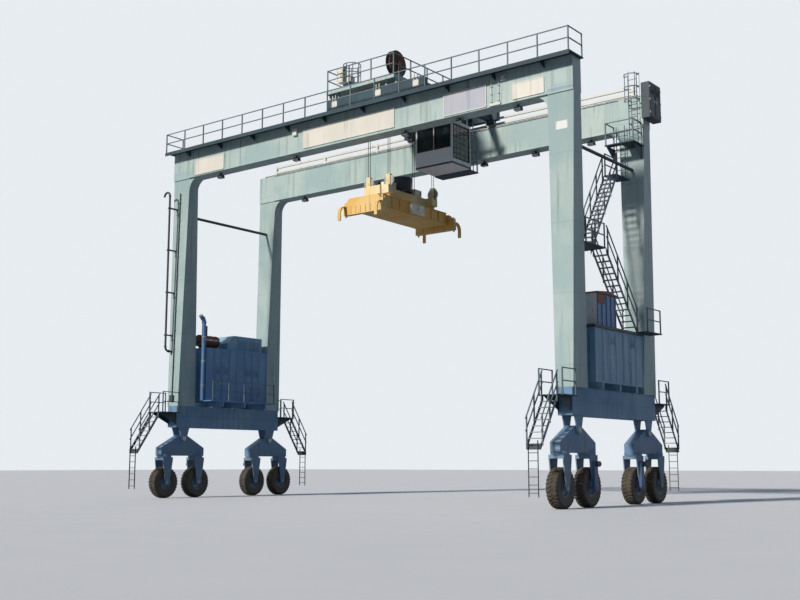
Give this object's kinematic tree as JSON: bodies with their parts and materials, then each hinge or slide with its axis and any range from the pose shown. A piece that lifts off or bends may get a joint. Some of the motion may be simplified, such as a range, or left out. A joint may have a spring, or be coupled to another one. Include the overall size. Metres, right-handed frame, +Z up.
{
  "type": "rubber tyred gantry crane",
  "caption": "Yard gantry crane on rubber tyred bogies: two box girders on tapered legs, with a trolley, a cabin, hoist ropes and a telescopic container spreader.",
  "frame": {"origin": "on the ground, at the middle between the two side frames and between the front and rear bogies", "axes": "+Z up, +X along the girders towards the side frame with the electrical house and stairs, +Y along the travel direction towards the rear girder"},
  "size_m": [25.61, 12.6736, 21.39],
  "materials": {
    "pale_paint": "weathered satin",
    "blue_paint": "weathered satin",
    "light_blue_paint": "weathered satin",
    "rusty_steel": "rough",
    "white_paint": "satin",
    "tyre": "dusty",
    "yellow_paint": "worn satin",
    "glass": "clear",
    "dark_paint": "satin",
    "grey_steel": "galvanised"
  },
  "bodies": {
    "portal": {"girder_front": "pale_paint", "girder_rear": "pale_paint", "trolley_rails": "grey_steel", "leg_front_right": "pale_paint", "leg_front_left": "pale_paint", "leg_rear_right": "pale_paint", "leg_rear_left": "pale_paint", "sill_right": "blue_paint", "sill_left": "blue_paint", "bogie_pins": "grey_steel", "leg_ties": "grey_steel", "walkway": "pale_paint", "walkway_railing": "grey_steel", "girder_boards": "white_paint", "festoon_track": "white_paint", "floodlights": "dark_paint", "end_cabinet": "dark_paint", "stair_flights": "grey_steel", "stair_landings": "dark_paint", "access_railings": "grey_steel", "caged_ladder": "grey_steel", "end_platforms": "dark_paint", "electrical_house": "blue_paint", "roof_cabinet": "white_paint", "power_house": "blue_paint", "air_plenum": "light_blue_paint", "exhaust": "rusty_steel", "leg_pipe": "dark_paint"},
    "bogie_front_right_body": {"bogie_front_right": "blue_paint"},
    "bogie_front_left_body": {"bogie_front_left": "blue_paint"},
    "bogie_rear_right_body": {"bogie_rear_right": "blue_paint"},
    "bogie_rear_left_body": {"bogie_rear_left": "blue_paint"},
    "fork_1_body": {"fork_1": "blue_paint"},
    "wheel_1_body": {"wheel_1": "tyre"},
    "fork_2_body": {"fork_2": "blue_paint"},
    "wheel_2_body": {"wheel_2": "tyre"},
    "fork_3_body": {"fork_3": "blue_paint"},
    "wheel_3_body": {"wheel_3": "tyre"},
    "fork_4_body": {"fork_4": "blue_paint"},
    "wheel_4_body": {"wheel_4": "tyre"},
    "fork_5_body": {"fork_5": "blue_paint"},
    "wheel_5_body": {"wheel_5": "tyre"},
    "fork_6_body": {"fork_6": "blue_paint"},
    "wheel_6_body": {"wheel_6": "tyre"},
    "fork_7_body": {"fork_7": "blue_paint"},
    "wheel_7_body": {"wheel_7": "tyre"},
    "fork_8_body": {"fork_8": "blue_paint"},
    "wheel_8_body": {"wheel_8": "tyre"},
    "trolley": {"trolley_frame": "pale_paint", "trolley_wheels": "grey_steel", "hoist_machinery": "grey_steel", "trolley_railing": "grey_steel", "cabin": "white_paint", "cabin_glass": "glass", "hoist_ropes": "dark_paint"},
    "hoisted_spreader": {"headblock": "yellow_paint", "spreader_frame": "yellow_paint"},
    "near_end": {"spreader_end_near": "yellow_paint"},
    "far_end": {"spreader_end_far": "yellow_paint"}
  },
  "joints": [
    {"name": "bogie_front_right_tilt", "type": "hinge", "parent": "portal", "child": "bogie_front_right_body", "pos_m": [11.735, -3.2, 3.08], "axis": [1, 0, 0], "range_deg": [-3, 3]},
    {"name": "bogie_front_left_tilt", "type": "hinge", "parent": "portal", "child": "bogie_front_left_body", "pos_m": [-11.735, -3.2, 3.08], "axis": [1, 0, 0], "range_deg": [-3, 3]},
    {"name": "bogie_rear_right_tilt", "type": "hinge", "parent": "portal", "child": "bogie_rear_right_body", "pos_m": [11.735, 3.2, 3.08], "axis": [1, 0, 0], "range_deg": [-3, 3]},
    {"name": "bogie_rear_left_tilt", "type": "hinge", "parent": "portal", "child": "bogie_rear_left_body", "pos_m": [-11.735, 3.2, 3.08], "axis": [1, 0, 0], "range_deg": [-3, 3]},
    {"name": "steer_1", "type": "hinge", "parent": "bogie_front_right_body", "child": "fork_1_body", "pos_m": [11.735, -4.275, 2.175], "axis": [0, 0, 1], "range_deg": [0, 90]},
    {"name": "wheel_1_spin", "type": "hinge", "parent": "fork_1_body", "child": "wheel_1_body", "pos_m": [11.735, -4.275, 0.8075], "axis": [1, 0, 0], "continuous": true},
    {"name": "steer_2", "type": "hinge", "parent": "bogie_front_right_body", "child": "fork_2_body", "pos_m": [11.735, -2.125, 2.175], "axis": [0, 0, 1], "range_deg": [0, 90]},
    {"name": "wheel_2_spin", "type": "hinge", "parent": "fork_2_body", "child": "wheel_2_body", "pos_m": [11.735, -2.125, 0.8075], "axis": [1, 0, 0], "continuous": true},
    {"name": "steer_3", "type": "hinge", "parent": "bogie_rear_right_body", "child": "fork_3_body", "pos_m": [11.735, 4.275, 2.175], "axis": [0, 0, 1], "range_deg": [0, 90]},
    {"name": "wheel_3_spin", "type": "hinge", "parent": "fork_3_body", "child": "wheel_3_body", "pos_m": [11.735, 4.275, 0.8075], "axis": [1, 0, 0], "continuous": true},
    {"name": "steer_4", "type": "hinge", "parent": "bogie_rear_right_body", "child": "fork_4_body", "pos_m": [11.735, 2.125, 2.175], "axis": [0, 0, 1], "range_deg": [0, 90]},
    {"name": "wheel_4_spin", "type": "hinge", "parent": "fork_4_body", "child": "wheel_4_body", "pos_m": [11.735, 2.125, 0.8075], "axis": [1, 0, 0], "continuous": true},
    {"name": "steer_5", "type": "hinge", "parent": "bogie_front_left_body", "child": "fork_5_body", "pos_m": [-11.735, -4.275, 2.175], "axis": [0, 0, 1], "range_deg": [0, 90]},
    {"name": "wheel_5_spin", "type": "hinge", "parent": "fork_5_body", "child": "wheel_5_body", "pos_m": [-11.735, -4.275, 0.8075], "axis": [1, 0, 0], "continuous": true},
    {"name": "steer_6", "type": "hinge", "parent": "bogie_front_left_body", "child": "fork_6_body", "pos_m": [-11.735, -2.125, 2.175], "axis": [0, 0, 1], "range_deg": [0, 90]},
    {"name": "wheel_6_spin", "type": "hinge", "parent": "fork_6_body", "child": "wheel_6_body", "pos_m": [-11.735, -2.125, 0.8075], "axis": [1, 0, 0], "continuous": true},
    {"name": "steer_7", "type": "hinge", "parent": "bogie_rear_left_body", "child": "fork_7_body", "pos_m": [-11.735, 4.275, 2.175], "axis": [0, 0, 1], "range_deg": [0, 90]},
    {"name": "wheel_7_spin", "type": "hinge", "parent": "fork_7_body", "child": "wheel_7_body", "pos_m": [-11.735, 4.275, 0.8075], "axis": [1, 0, 0], "continuous": true},
    {"name": "steer_8", "type": "hinge", "parent": "bogie_rear_left_body", "child": "fork_8_body", "pos_m": [-11.735, 2.125, 2.175], "axis": [0, 0, 1], "range_deg": [0, 90]},
    {"name": "wheel_8_spin", "type": "hinge", "parent": "fork_8_body", "child": "wheel_8_body", "pos_m": [-11.735, 2.125, 0.8075], "axis": [1, 0, 0], "continuous": true},
    {"name": "trolley_travel", "type": "slide", "parent": "portal", "child": "trolley", "axis": [1, 0, 0], "range_m": [-9.2, 6.4]},
    {"name": "hoist", "type": "slide", "parent": "trolley", "child": "hoisted_spreader", "axis": [0, 0, 1], "range_m": [-13.2, 1.64], "deforming": ["hoist_ropes"]},
    {"name": "near_end_extend", "type": "slide", "parent": "hoisted_spreader", "child": "near_end", "axis": [0, -1, 0], "range_m": [0, 3.066]},
    {"name": "far_end_extend", "type": "slide", "parent": "hoisted_spreader", "child": "far_end", "axis": [0, 1, 0], "range_m": [0, 3.066]}
  ],
  "couplings": [
    {"joint": "far_end_extend", "follows": "near_end_extend", "ratio": 1}
  ]
}
